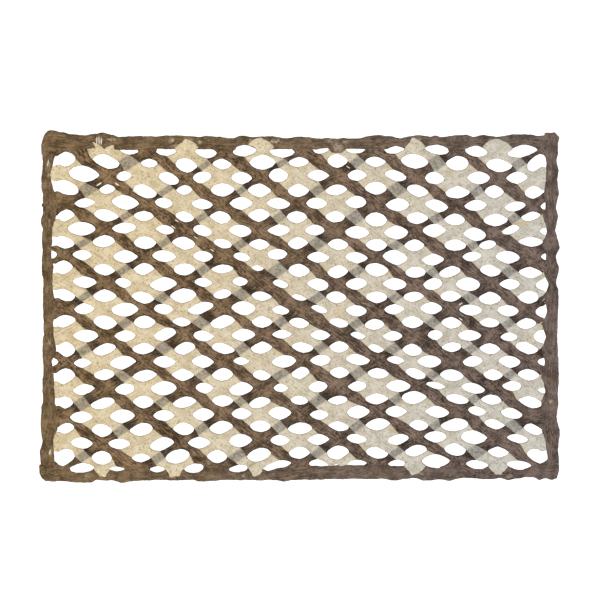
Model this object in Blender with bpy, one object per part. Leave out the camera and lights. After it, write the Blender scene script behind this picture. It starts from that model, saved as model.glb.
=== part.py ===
"""A sheet of openwork bark paper, lying flat: brown and cream strips of bark crossed slantwise and beaten
together, inside a border of four brown strips. Each colour is one felted lattice. Where brown meets cream the
two are half-lapped, the strip that runs down to the right on top. Sizes are in millimetres until the meshes
are made, X runs along the sheet, Y up its face, and Z is its thickness."""

from collections import namedtuple
from math import floor, hypot

import bmesh
import bpy

MM = 0.001

THICKNESS = 2.4
CLEARANCE = 0.3
LAP = (THICKNESS - CLEARANCE) / 2

# The lattice: the middle crossing, and the steps from one crossing to the next one along a strip.
MIDDLE_X = -1.2
MIDDLE_Y = -2.8
STEP_X = 21.7
STEP_Y = 14.7
SPACING = 2 * STEP_X * STEP_Y / hypot(STEP_X, STEP_Y)
OUTERMOST = 12

# Beside a crossing a strip is this far from its middle line to its edge, in parts of the spacing: less
# towards the gaps at the crossing's left and right, more towards those above and below it.
NARROW_WEB = 0.225
WIDE_WEB = 0.265
LAP_REACH = 0.29
WAIST_AT = 0.5
END_REACH = 0.9

# A strip goes on straying this far along, in parts of half its run, and keeps its place from there.
STRAY_END = 1.1

FULL = (0.0, THICKNESS)
UPPER = (THICKNESS - LAP, THICKNESS)
LOWER = (0.0, LAP)

Strip = namedtuple("Strip", "number start middle end waist")

# How far each strip strays from its even place at its start, middle and end, and its width between two
# crossings. These run down to the right and stray towards the upper right.
OVER_STRIPS = [
    Strip(-12, -4, -4, -4, 9),
    Strip(-11, -4, -4, -5, 7),
    Strip(-10, -4, -5, -8, 9),
    Strip(-9, -4, -6, -8, 9),
    Strip(-8, -2, -1, -5, 9),
    Strip(-7, -2, -1, -3, 8),
    Strip(-6, -1, 1, 1, 8),
    Strip(-5, -1, 0, 0, 8),
    Strip(-4, 0, 2, 2, 9),
    Strip(-3, -1, -1, 1, 10),
    Strip(-2, 1, 2, 5, 8),
    Strip(-1, 1, 2, 4, 9),
    Strip(0, 3, 2, 6, 11),
    Strip(1, 5, -3, 4, 10),
    Strip(2, 2, -2, 0, 10),
    Strip(3, 2, -1, -1, 8),
    Strip(4, 1, -2, -2, 9),
    Strip(5, 2, -2, -4, 8),
    Strip(6, 2, -1, -4, 10),
    Strip(7, 2, 0, -4, 8),
    Strip(8, 0, -1, -1, 10),
    Strip(9, 3, 1, 0, 8),
    Strip(10, 3, 2, 1, 8),
    Strip(11, 3, 3, 3, 8),
    Strip(12, 3, 3, 3, 9),
]

# These run up to the right and stray towards the lower right.
UNDER_STRIPS = [
    Strip(-12, -6, -6, -6, 10),
    Strip(-11, -6, -6, -5, 10),
    Strip(-10, 0, 1, 1, 11),
    Strip(-9, -4, -1, 2, 9),
    Strip(-8, -3, 1, 3, 6),
    Strip(-7, -3, -1, 0, 10),
    Strip(-6, 0, 0, 0, 6),
    Strip(-5, -1, 1, -3, 8),
    Strip(-4, 1, 1, -3, 8),
    Strip(-3, -1, 0, -4, 9),
    Strip(-2, 1, -1, 0, 11),
    Strip(-1, 0, 1, 2, 8),
    Strip(0, 1, 1, 4, 8),
    Strip(1, 2, 1, 4, 10),
    Strip(2, 1, 1, 3, 8),
    Strip(3, 0, -1, -2, 9),
    Strip(4, 1, -1, 0, 9),
    Strip(5, 0, -1, 0, 8),
    Strip(6, -1, -1, -1, 8),
    Strip(7, -1, -2, -2, 9),
    Strip(8, 0, -1, -1, 7),
    Strip(9, -3, -3, -2, 8),
    Strip(10, 0, 0, 1, 11),
    Strip(11, 3, 3, 3, 11),
    Strip(12, 3, 3, 3, 11),
]

# Inner edge of the border, in lattice steps from the middle: beside a crossing, beside a gap that is
# open, and beside a gap that the border covers, with the columns of those gaps.
InnerEdge = namedtuple("InnerEdge", "crossing open covered covered_at")
TOP_EDGE = InnerEdge(12.16, 12.4, 11.38, (-11, -9, -7, 1, 3, 5))
BOTTOM_EDGE = InnerEdge(12.1, 12.35, 11.38, (-9, -7, -3, 1, 3, 5, 9))
SIDE_AT_CROSSING = 12.4
SIDE_AT_GAP = 12.62

# Points of the uneven outer edge, on round the sheet from its lower left corner.
OUTER_BOTTOM = [
    (-291.5, -187), (-289, -193), (-285, -196), (-262, -196), (-245, -197.5), (-234, -197), (-228, -194.5),
    (-212, -194.5), (-200, -197.5), (-190, -196), (-165, -194.5), (-135, -195), (-120, -194.5),
    (-113, -196), (-85, -194.5), (-30, -194.5), (-17, -196), (-8, -194.5), (50, -193.5), (90, -193),
    (107, -195), (120, -192.5), (130, -192.5), (138, -195), (147, -195), (156, -193.5), (168, -195),
    (180, -192), (215, -193.5), (225, -192), (233, -195), (241, -192.5), (262, -191), (268, -194.5),
    (275, -192.5), (282, -194), (288, -192), (291.5, -183),
]
OUTER_RIGHT = [
    (290.5, -175), (289, -160), (291, -139), (287.5, -123), (290, -108), (289, -97), (290, -74), (288, -33),
    (289.5, 8), (289, 19), (287, 27), (290, 44), (286.5, 55), (290.5, 66), (288, 79), (286, 86), (289, 101),
    (287, 112), (290, 126), (288.5, 142), (290, 152), (287, 164), (289, 171), (289, 182), (290.5, 189),
    (287, 192), (281, 193.5),
]
OUTER_TOP = [
    (258, 193), (240, 193), (220, 190.5), (205, 192), (195, 190), (187, 192), (176, 192), (160, 189.5),
    (152, 191.5), (147, 190), (132, 192), (122, 190.5), (112, 188.5), (100, 191), (88, 192), (75, 190.5),
    (65, 188.5), (18, 188.5), (10, 190), (-3, 190), (-15, 188.5), (-30, 190.5), (-55, 190), (-62, 191.5),
    (-68, 191.5), (-75, 188.5), (-82, 188.5), (-90, 190), (-105, 191.5), (-112, 190), (-137, 192),
    (-160, 190.5), (-180, 191), (-203, 190), (-210, 192), (-220, 194.5), (-232, 193.5), (-240, 192),
    (-258, 193), (-266, 195), (-275, 197), (-282, 197.5), (-286, 194), (-288.5, 187),
]
OUTER_LEFT = [
    (-288, 159), (-290, 139), (-288, 123), (-288, 105), (-290, 98), (-290, 93), (-288, 87), (-289, 77),
    (-288, 62), (-289.5, 44), (-287.5, 27), (-288, 8), (-287, -31), (-288.5, -41), (-288.5, -57),
    (-287.5, -71), (-288.5, -81), (-288, -107), (-290, -112), (-290.5, -134), (-288.5, -150),
    (-291.5, -164),
]

# Where the top strip's end and the right strip's corner reach up to, at the seam between them.
TOP_END_Y = 192.0
RIGHT_CORNER_Y = 194.5

BROWN = (0.155, 0.098, 0.060)
CREAM = (0.640, 0.560, 0.390)
BORDER_BROWN = (0.140, 0.096, 0.064)
BARK_ROUGHNESS = 0.88


def clear_scene():
    for old in list(bpy.data.objects):
        bpy.data.objects.remove(old, do_unlink=True)


def strip_row(strips, number):
    return strips[min(max(number, -OUTERMOST), OUTERMOST) + OUTERMOST]


def strays(strips, number, along):
    """How far the numbered strip strays from its even place, at a crossing number along it."""
    row = strip_row(strips, number)
    half_run = max(OUTERMOST - abs(row.number), 1)
    t = min(max(along / half_run, -STRAY_END), STRAY_END)
    return row.middle + t * (row.end - row.start) / 2 + t * t * (row.start + row.end - 2 * row.middle) / 2


def strays_between(strips, number, along):
    below = floor(number)
    share = number - below
    return (1 - share) * strays(strips, below, along) + share * strays(strips, below + 1, along)


def place(under, over):
    """Where a point of the lattice lies that is counted in under and over strips, fractions between."""
    strayed_over = over + strays_between(OVER_STRIPS, over, under) / SPACING
    strayed_under = under + strays_between(UNDER_STRIPS, under, over) / SPACING
    x = MIDDLE_X + STEP_X * (strayed_under + strayed_over)
    y = MIDDLE_Y + STEP_Y * (strayed_over - strayed_under)
    return x, y


def place_across(columns, rows):
    """Where a point lies that is so many columns of crossings right of the middle, and rows above it."""
    return place((columns - rows) / 2, (columns + rows) / 2)


def half_waist(strips, number):
    return strip_row(strips, number).waist / 2 / SPACING


def in_lattice(under, over):
    return abs(under + over) <= OUTERMOST + 1 and abs(under - over) <= OUTERMOST


def arm_reach(under, over, under_step, over_step):
    """An arm ends halfway to the next crossing, or runs on beneath the border where there is none."""
    return WAIST_AT if in_lattice(under + under_step, over + over_step) else END_REACH


def joined_crossing(under, over):
    """Outline, anticlockwise, of two strips of one colour where they cross and are felted into one."""
    w_over = half_waist(OVER_STRIPS, over)
    w_under = half_waist(UNDER_STRIPS, under)
    right = arm_reach(under, over, 1, 0)
    left = arm_reach(under, over, -1, 0)
    up = arm_reach(under, over, 0, 1)
    down = arm_reach(under, over, 0, -1)
    offsets = [
        (right, -w_over), (right, w_over), (NARROW_WEB, NARROW_WEB),
        (w_under, up), (-w_under, up), (-WIDE_WEB, WIDE_WEB),
        (-left, w_over), (-left, -w_over), (-NARROW_WEB, -NARROW_WEB),
        (-w_under, -down), (w_under, -down), (WIDE_WEB, -WIDE_WEB),
    ]
    return [(under + u, over + v) for u, v in offsets]


def lapped_stations(strips, number, back, ahead):
    """Stations of a strip through a crossing with the other colour: (along, edge below, edge above)."""
    waist = half_waist(strips, number)
    return [
        (-back, -waist, waist),
        (-LAP_REACH, -NARROW_WEB, WIDE_WEB),
        (LAP_REACH, -WIDE_WEB, NARROW_WEB),
        (ahead, -waist, waist),
    ]


def lapped_over(under, over):
    """The over strip through such a crossing: three flat outlines with their levels."""
    back, ahead = arm_reach(under, over, -1, 0), arm_reach(under, over, 1, 0)
    stations = lapped_stations(OVER_STRIPS, over, back, ahead)
    for (u0, low0, high0), (u1, low1, high1), level in zip(stations, stations[1:], (FULL, UPPER, FULL)):
        corners = [(u0, low0), (u1, low1), (u1, high1), (u0, high0)]
        yield [(under + u, over + v) for u, v in corners], level


def lapped_under(under, over):
    """The under strip through the same crossing, mirrored about the crossing's level line."""
    back, ahead = arm_reach(under, over, 0, -1), arm_reach(under, over, 0, 1)
    stations = lapped_stations(UNDER_STRIPS, under, back, ahead)
    for (v0, low0, high0), (v1, low1, high1), level in zip(stations, stations[1:], (FULL, LOWER, FULL)):
        corners = [(low0, v0), (high0, v0), (high1, v1), (low1, v1)]
        yield [(under + u, over + v) for u, v in corners], level


def lattice_outlines(parity):
    """Every flat outline of one colour's lattice with its levels: parity 0 is brown, 1 is cream."""
    numbers = range(-OUTERMOST, OUTERMOST + 1)
    for under in numbers:
        for over in numbers:
            if not in_lattice(under, over):
                continue
            if (under + over) % 2 == 0:
                if over % 2 == parity:
                    yield joined_crossing(under, over), FULL
            elif over % 2 == parity:
                yield from lapped_over(under, over)
            else:
                yield from lapped_under(under, over)


def stepped_solid(outlines):
    """Closed mesh of flat outlines that share edges, each filled between its own two levels."""
    mesh = bmesh.new()
    corners, columns, owners = {}, {}, {}
    flats = [([(round(u, 5), round(v, 5)) for u, v in outline], level) for outline, level in outlines]
    for outline, level in flats:
        for start, end in zip(outline, outline[1:] + outline[:1]):
            owners[start, end] = level
            columns.setdefault(start, set()).update(level)

    def corner(point, height):
        if (point, height) not in corners:
            x, y = place(*point)
            corners[point, height] = mesh.verts.new((x * MM, y * MM, height * MM))
        return corners[point, height]

    def column(point, low, high):
        return [corner(point, height) for height in sorted(columns[point]) if low <= height <= high]

    for outline, (low, high) in flats:
        mesh.faces.new([corner(point, high) for point in outline])
        mesh.faces.new([corner(point, low) for point in reversed(outline)])
        for start, end in zip(outline, outline[1:] + outline[:1]):
            beside = owners.get((end, start))
            bands = [(low, high)] if beside is None else [(low, beside[0]), (beside[1], high)]
            for bottom, top in bands:
                if top > bottom:
                    wall = column(end, bottom, top) + column(start, bottom, top)[::-1]
                    mesh.faces.new(wall)
    return mesh


def extruded(outline, low, high):
    """Prism on an outline in millimetres."""
    mesh = bmesh.new()
    face = mesh.faces.new([mesh.verts.new((x * MM, y * MM, low * MM)) for x, y in outline])
    raised = bmesh.ops.extrude_face_region(mesh, geom=[face])["geom"]
    for vertex in raised:
        if isinstance(vertex, bmesh.types.BMVert):
            vertex.co.z = high * MM
    bmesh.ops.recalc_face_normals(mesh, faces=mesh.faces[:])
    return mesh


def edge_reach(edge, station):
    if station % 2 == 0:
        return edge.crossing
    return edge.covered if station in edge.covered_at else edge.open


def side_reach(station):
    return SIDE_AT_CROSSING if station % 2 == 0 else SIDE_AT_GAP


def inner_edges():
    """The border's inner edge: its four sides, left to right or bottom to top, and its four corners."""
    stations = range(-OUTERMOST, OUTERMOST + 1)
    sides = {
        "top": [place_across(s, edge_reach(TOP_EDGE, s)) for s in stations],
        "bottom": [place_across(s, -edge_reach(BOTTOM_EDGE, s)) for s in stations],
        "left": [place_across(-side_reach(s), s) for s in stations],
        "right": [place_across(side_reach(s), s) for s in stations],
    }
    corners = {
        "top_left": place_across(-SIDE_AT_GAP, TOP_EDGE.crossing),
        "top_right": place_across(SIDE_AT_GAP, TOP_EDGE.crossing),
        "bottom_left": place_across(-SIDE_AT_GAP, -BOTTOM_EDGE.crossing),
        "bottom_right": place_across(SIDE_AT_GAP, -BOTTOM_EDGE.crossing),
    }
    return sides, corners


def drawn_in(outline, distance):
    """An anticlockwise outline with each of its edges moved inwards."""
    moved = []
    for before, here, after in zip(outline[-1:] + outline[:-1], outline, outline[1:] + outline[:1]):
        normals = []
        for (x0, y0), (x1, y1) in ((before, here), (here, after)):
            length = hypot(x1 - x0, y1 - y0)
            normals.append(((y0 - y1) / length, (x1 - x0) / length))
        (nx0, ny0), (nx1, ny1) = normals
        scale = distance / (1 + nx0 * nx1 + ny0 * ny1)
        moved.append((here[0] + scale * (nx0 + nx1), here[1] + scale * (ny0 + ny1)))
    return moved


def border_outlines():
    """The four border strips, butted at the corners: the top one takes the upper left corner, the right one
    the upper right corner, and the bottom one both lower corners."""
    sides, corners = inner_edges()
    left_x, top_seam = corners["top_left"]
    right_seam, right_top = corners["top_right"]
    low_left_x, low_left_seam = corners["bottom_left"]
    low_right_x, low_right_seam = corners["bottom_right"]
    top_end = right_seam - CLEARANCE
    top = [(top_end, TOP_END_Y)] + OUTER_TOP + [(OUTER_LEFT[0][0], top_seam), (left_x, top_seam)]
    top += sides["top"] + [(top_end, right_top)]
    right = [(OUTER_RIGHT[0][0], low_right_seam + CLEARANCE)] + OUTER_RIGHT + [(right_seam, RIGHT_CORNER_Y)]
    right += [(right_seam, right_top)] + sides["right"][::-1] + [(low_right_x, low_right_seam + CLEARANCE)]
    bottom = [(OUTER_BOTTOM[0][0], low_left_seam)] + OUTER_BOTTOM + [(OUTER_BOTTOM[-1][0], low_right_seam)]
    bottom += [(low_right_x, low_right_seam)] + sides["bottom"][::-1] + [(low_left_x, low_left_seam)]
    left = [(OUTER_LEFT[0][0], top_seam - CLEARANCE)] + OUTER_LEFT
    left += [(OUTER_LEFT[-1][0], low_left_seam + CLEARANCE), (low_left_x, low_left_seam + CLEARANCE)]
    left += sides["left"] + [(left_x, top_seam - CLEARANCE)]
    return {"border_top": top, "border_right": right, "border_bottom": bottom, "border_left": left}


def opening_outline():
    """The outline that the lattices fill, a clearance inside the border's inner edge."""
    sides, corners = inner_edges()
    outline = [corners["bottom_left"]] + sides["bottom"] + [corners["bottom_right"]] + sides["right"]
    outline += [corners["top_right"]] + sides["top"][::-1] + [corners["top_left"]] + sides["left"][::-1]
    return drawn_in(outline, CLEARANCE)


def bark(name, colour):
    material = bpy.data.materials.new(name)
    material.use_nodes = True
    shader = material.node_tree.nodes["Principled BSDF"]
    shader.inputs["Base Color"].default_value = (*colour, 1.0)
    shader.inputs["Roughness"].default_value = BARK_ROUGHNESS
    shader.inputs["Metallic"].default_value = 0.0
    material.diffuse_color = (*colour, 1.0)
    return material


def add_piece(name, mesh, sheet, material=None):
    data = bpy.data.meshes.new(name)
    mesh.to_mesh(data)
    mesh.free()
    piece = bpy.data.objects.new(name, data)
    bpy.context.scene.collection.objects.link(piece)
    piece.parent = sheet
    if material:
        data.materials.append(material)
    return piece


def trim_to(piece, opening):
    """Keeps only what lies inside the border."""
    trim = piece.modifiers.new("ends at the border", "BOOLEAN")
    trim.operation = "INTERSECT"
    trim.solver = "EXACT"
    trim.object = opening


def build():
    clear_scene()
    sheet = bpy.data.objects.new("sheet", None)
    bpy.context.scene.collection.objects.link(sheet)

    border_bark = bark("border_bark", BORDER_BROWN)
    for name, outline in border_outlines().items():
        add_piece(name, extruded(outline, *FULL), sheet, border_bark)

    tall = (-THICKNESS, 2 * THICKNESS)
    opening = add_piece("opening_in_border", extruded(opening_outline(), *tall), sheet)
    opening.hide_render = True
    opening.display_type = "WIRE"
    for name, colour, parity in (("brown_lattice", BROWN, 0), ("cream_lattice", CREAM, 1)):
        outlines = lattice_outlines(parity)
        lattice = add_piece(name, stepped_solid(outlines), sheet, bark(name + "_bark", colour))
        trim_to(lattice, opening)


build()
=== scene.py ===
"""Openwork bark paper lying flat: brown and cream bark strips, crossed slantwise and beaten together
inside a border of brown strips. All lengths in the tables are in millimetres."""

from collections import namedtuple

import bpy
import numpy as np
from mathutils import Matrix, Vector
from mathutils.bvhtree import BVHTree


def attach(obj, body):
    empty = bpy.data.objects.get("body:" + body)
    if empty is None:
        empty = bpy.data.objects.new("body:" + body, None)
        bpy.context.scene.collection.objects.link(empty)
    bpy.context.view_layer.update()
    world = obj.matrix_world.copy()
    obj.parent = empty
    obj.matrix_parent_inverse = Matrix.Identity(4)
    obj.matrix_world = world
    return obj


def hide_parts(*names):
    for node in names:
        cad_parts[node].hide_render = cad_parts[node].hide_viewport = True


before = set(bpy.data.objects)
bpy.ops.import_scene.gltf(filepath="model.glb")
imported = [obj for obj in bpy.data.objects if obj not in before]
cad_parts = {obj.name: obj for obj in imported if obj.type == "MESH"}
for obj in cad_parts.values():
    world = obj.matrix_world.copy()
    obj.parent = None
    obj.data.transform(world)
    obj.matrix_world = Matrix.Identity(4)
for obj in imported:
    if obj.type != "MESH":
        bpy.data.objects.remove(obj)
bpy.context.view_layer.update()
bpy.ops.object.select_all(action="DESELECT")

MM = 0.001

# The lattice's middle crossing and its steps to the next crossings, as the solids have them.
MIDDLE_X, MIDDLE_Y = -1.2, -2.8
STEP_X, STEP_Y = 21.7, 14.7
SPACING = 2 * STEP_X * STEP_Y / np.hypot(STEP_X, STEP_Y)
OUTERMOST = 12

# How far each strip strays from its even place at its start, middle and end, and how wide it is between
# crossings.
Strip = namedtuple("Strip", "number start middle end waist")

OVER_STRIPS = [
    Strip(-12, -4, -4, -4, 9),
    Strip(-11, -4, -4, -5, 7),
    Strip(-10, -4, -5, -8, 9),
    Strip(-9, -4, -6, -8, 9),
    Strip(-8, -2, -1, -5, 9),
    Strip(-7, -2, -1, -3, 8),
    Strip(-6, -1, 1, 1, 8),
    Strip(-5, -1, 0, 0, 8),
    Strip(-4, 0, 2, 2, 9),
    Strip(-3, -1, -1, 1, 10),
    Strip(-2, 1, 2, 5, 8),
    Strip(-1, 1, 2, 4, 9),
    Strip(0, 3, 2, 6, 11),
    Strip(1, 5, -3, 4, 10),
    Strip(2, 2, -2, 0, 10),
    Strip(3, 2, -1, -1, 8),
    Strip(4, 1, -2, -2, 9),
    Strip(5, 2, -2, -4, 8),
    Strip(6, 2, -1, -4, 10),
    Strip(7, 2, 0, -4, 8),
    Strip(8, 0, -1, -1, 10),
    Strip(9, 3, 1, 0, 8),
    Strip(10, 3, 2, 1, 8),
    Strip(11, 3, 3, 3, 8),
    Strip(12, 3, 3, 3, 9),
]
UNDER_STRIPS = [
    Strip(-12, -6, -6, -6, 10),
    Strip(-11, -6, -6, -5, 10),
    Strip(-10, 0, 1, 1, 11),
    Strip(-9, -4, -1, 2, 9),
    Strip(-8, -3, 1, 3, 6),
    Strip(-7, -3, -1, 0, 10),
    Strip(-6, 0, 0, 0, 6),
    Strip(-5, -1, 1, -3, 8),
    Strip(-4, 1, 1, -3, 8),
    Strip(-3, -1, 0, -4, 9),
    Strip(-2, 1, -1, 0, 11),
    Strip(-1, 0, 1, 2, 8),
    Strip(0, 1, 1, 4, 8),
    Strip(1, 2, 1, 4, 10),
    Strip(2, 1, 1, 3, 8),
    Strip(3, 0, -1, -2, 9),
    Strip(4, 1, -1, 0, 9),
    Strip(5, 0, -1, 0, 8),
    Strip(6, -1, -1, -1, 8),
    Strip(7, -1, -2, -2, 9),
    Strip(8, 0, -1, -1, 7),
    Strip(9, -3, -3, -2, 8),
    Strip(10, 0, 0, 1, 11),
    Strip(11, 3, 3, 3, 11),
    Strip(12, 3, 3, 3, 11),
]

# A gap's own form, in lattice steps from its middle: to its left and right tips, and up and down. Its sides
# bow outwards from straight (1) to an ellipse's (2).
TIP_REACH = 0.262
RISE_REACH = 0.213
BOW = 1.58
# Half the room between two strips, in lattice steps, that a gap of this form fills.
EVEN_HALF = 0.305
# How much of a gap's width and height its frayed rim leaves open.
FRAYED = 0.972
# How far from its middle crossing a strip goes on straying, as a share of its half run.
LAST_STRAY = 1.1


class Family:
    """All strips of one direction: their drift anywhere along them, and their width."""

    def __init__(self, rows):
        start, middle, end, self.waist = (np.array(column, float) for column in list(zip(*rows))[1:])
        self.middle, self.slope, self.bend = middle, (end - start) / 2, (start + end) / 2 - middle

    def at(self, number, along):
        index = (np.clip(number, -OUTERMOST, OUTERMOST) + OUTERMOST).astype(int)
        half_run = np.maximum(OUTERMOST - np.abs(index - OUTERMOST), 1)
        t = np.clip(along / half_run, -LAST_STRAY, LAST_STRAY)
        return self.middle[index] + self.slope[index] * t + self.bend[index] * t * t

    def drift(self, number, along):
        """How far the strips stray at this count along them, also between two strips."""
        below = np.floor(number)
        share = number - below
        return (1 - share) * self.at(below, along) + share * self.at(below + 1, along)

    def half_width(self, number):
        index = np.clip(number, -OUTERMOST, OUTERMOST) + OUTERMOST
        return self.waist[index] / 2 / SPACING


OVER, UNDER = Family(OVER_STRIPS), Family(UNDER_STRIPS)


def place(under, over):
    """Where a point lies that is counted in under and over strips, fractions between, in millimetres."""
    under, over = np.broadcast_arrays(np.asarray(under, float), np.asarray(over, float))
    moved_over = over + OVER.drift(over, under) / SPACING
    moved_under = under + UNDER.drift(under, over) / SPACING
    return MIDDLE_X + STEP_X * (moved_under + moved_over), MIDDLE_Y + STEP_Y * (moved_over - moved_under)


def noise_line(values, seed, length):
    """Smooth even noise from -1 to 1 along a line, with this wavelength."""
    knots = np.random.default_rng(seed).uniform(-1, 1, 4096)
    spot = np.asarray(values, float) / length + 2048
    low = np.floor(spot).astype(int)
    share = spot - low
    share = share * share * (3 - 2 * share)
    return knots[low % 4096] * (1 - share) + knots[(low + 1) % 4096] * share


def noise_field(x, y, seed, length):
    """The same over a plane."""
    knots = np.random.default_rng(seed).uniform(-1, 1, (256, 256))
    fx, fy = np.asarray(x, float) / length + 1024, np.asarray(y, float) / length + 1024
    ix, iy = np.floor(fx).astype(int), np.floor(fy).astype(int)
    sx, sy = fx - ix, fy - iy
    sx, sy = sx * sx * (3 - 2 * sx), sy * sy * (3 - 2 * sy)
    ix0, ix1, iy0, iy1 = ix % 256, (ix + 1) % 256, iy % 256, (iy + 1) % 256
    near = knots[ix0, iy0] * (1 - sx) + knots[ix1, iy0] * sx
    far = knots[ix0, iy1] * (1 - sx) + knots[ix1, iy1] * sx
    return near * (1 - sy) + far * sy


def smooth(value, low, high):
    """0 below low, 1 above high, with soft ends."""
    t = np.clip((value - low) / (high - low), 0, 1)
    return t * t * (3 - 2 * t)


def side_reach(x, tip, rise, bow):
    """How far a gap's side stands off the middle, at a distance x along the strip beside it."""
    low, high = np.abs(x), np.ones_like(x)
    for _ in range(24):
        half = (low + high) / 2
        inside = (np.abs(x - half) / 2 / tip) ** bow + (np.abs(x + half) / 2 / rise) ** bow < 1
        low, high = np.where(inside, half, low), np.where(inside, high, half)
    return (low + high) / 2


def locate(x, y):
    """The under and over count of a place in millimetres, the other way round from place()."""
    under, over = 0.0 * x, 0.0 * x
    for _ in range(12):
        at_x, at_y = place(under, over)
        right, up = (x - at_x) / STEP_X / 2, (y - at_y) / STEP_Y / 2
        under, over = under + right - up, over + right + up
    return under, over


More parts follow.
